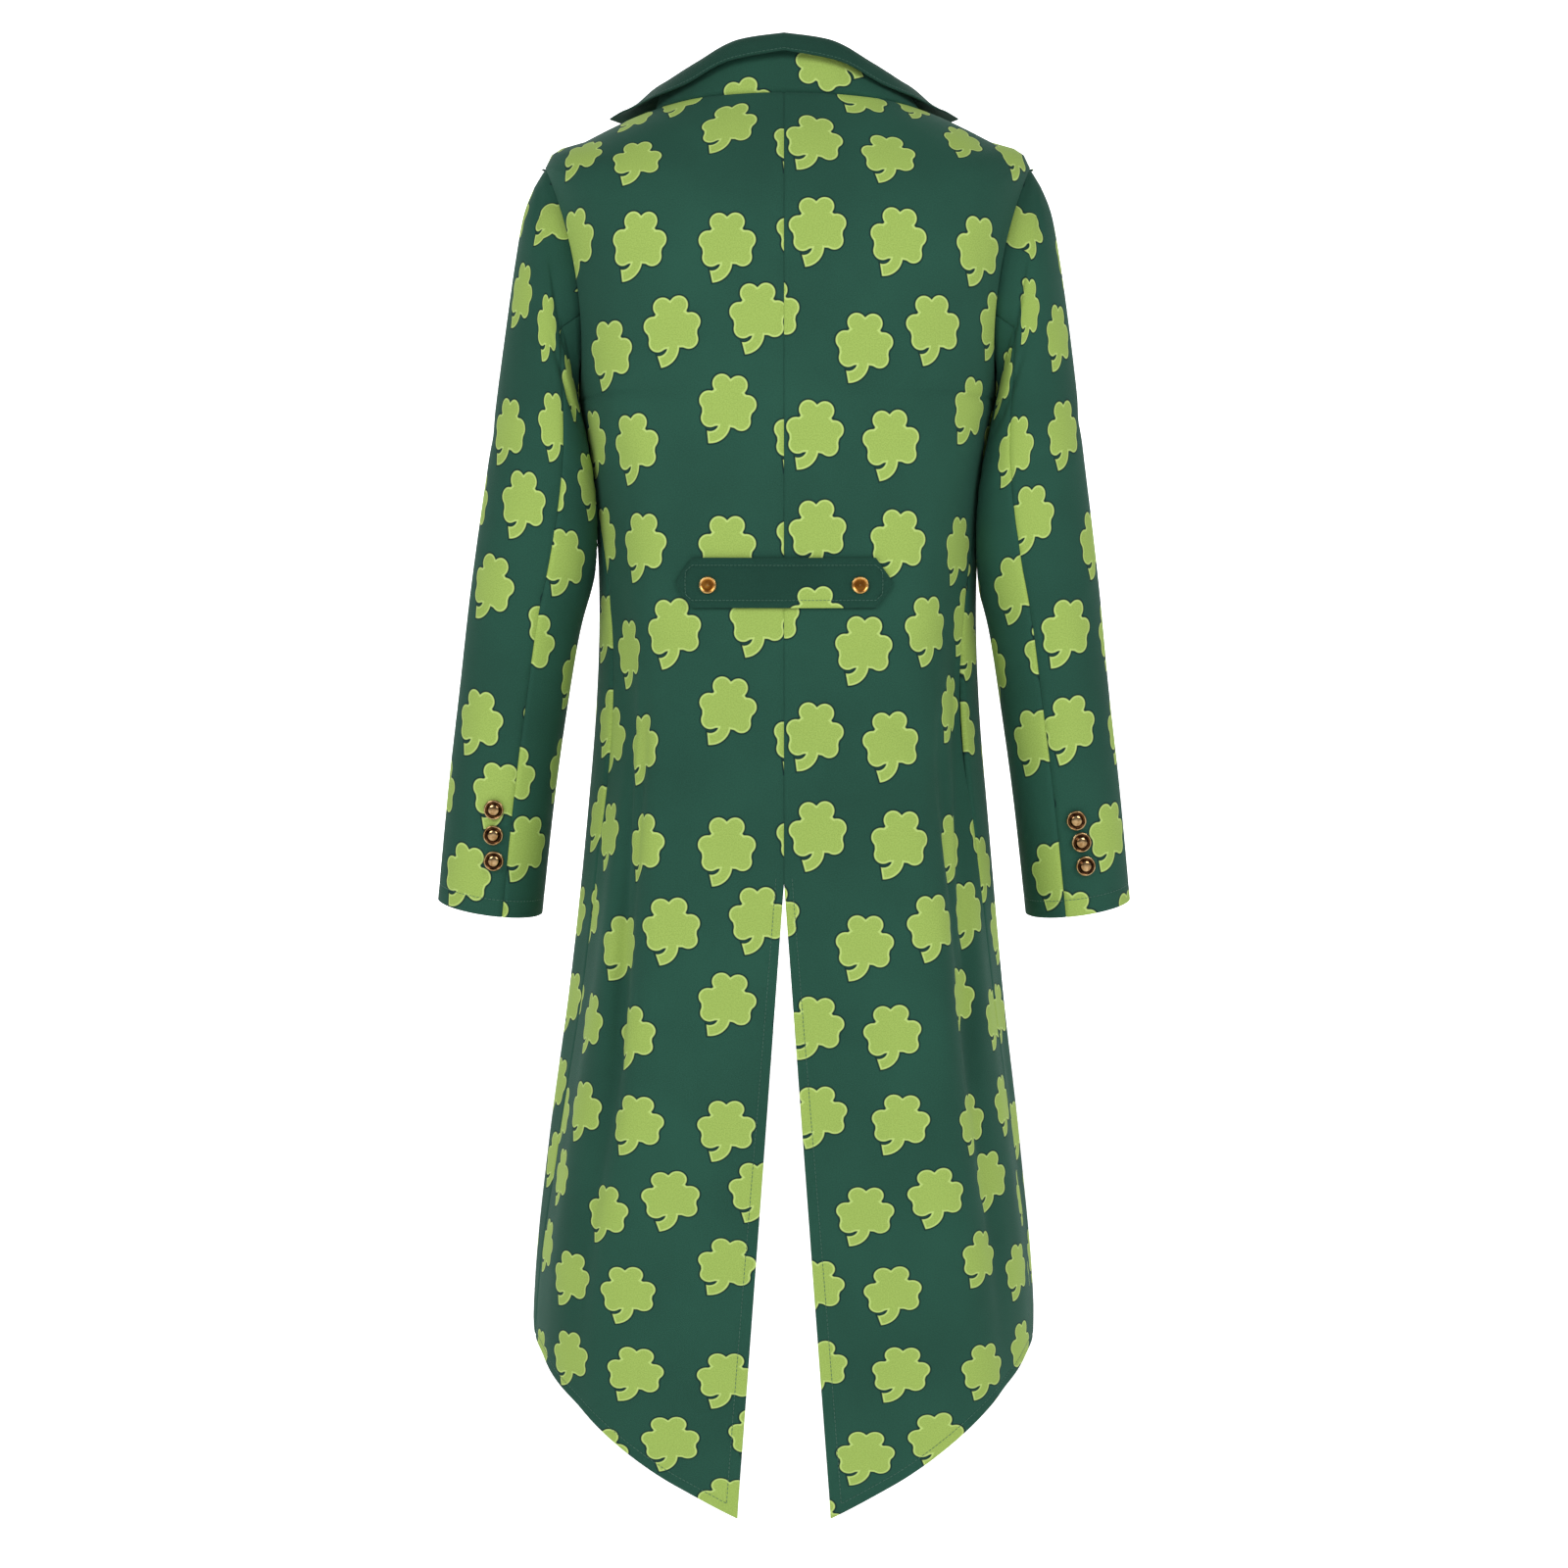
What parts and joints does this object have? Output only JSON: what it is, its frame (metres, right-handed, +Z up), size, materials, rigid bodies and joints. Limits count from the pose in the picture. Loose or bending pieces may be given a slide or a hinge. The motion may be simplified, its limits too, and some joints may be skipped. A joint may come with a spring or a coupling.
{
  "type": "costume tailcoat",
  "caption": "Long green tailcoat with an all-over light green shamrock print, pointed roll collar, two-piece sleeves, buttoned half belt and split tails, hollow as if worn.",
  "frame": {"origin": "the middle of the neck opening, level with the neck seam at the nape, on the coat's centre plane", "axes": "+Z up, +X to the wearer's left, +Y out of the wearer's back, so that the front of the coat faces -Y"},
  "size_m": [0.597, 0.293, 1.2262],
  "materials": {
    "printed_cloth": "matt dark green cloth with a light green shamrock print",
    "plain_cloth": "matt, with a slight sheen",
    "belt_button": "polished, reddish",
    "domed_button": "antiqued, bright at the rim"
  },
  "bodies": {
    "root": {"back_left": "printed_cloth", "back_right": "printed_cloth", "front_left": "printed_cloth", "front_right": "printed_cloth", "sleeve_upper_left": "printed_cloth", "sleeve_upper_right": "printed_cloth", "sleeve_under_left": "printed_cloth", "sleeve_under_right": "printed_cloth", "collar_stand": "printed_cloth", "back_belt": "printed_cloth", "collar_leaf": "plain_cloth", "lapel_left": "plain_cloth", "lapel_right": "plain_cloth", "belt_button_left": "belt_button", "belt_button_right": "belt_button", "cuff_button_left_1": "domed_button", "cuff_button_left_2": "domed_button", "cuff_button_left_3": "domed_button", "cuff_button_right_1": "domed_button", "cuff_button_right_2": "domed_button", "cuff_button_right_3": "domed_button", "front_button_1": "domed_button", "front_button_2": "domed_button", "front_button_3": "domed_button"}
  },
  "joints": []
}
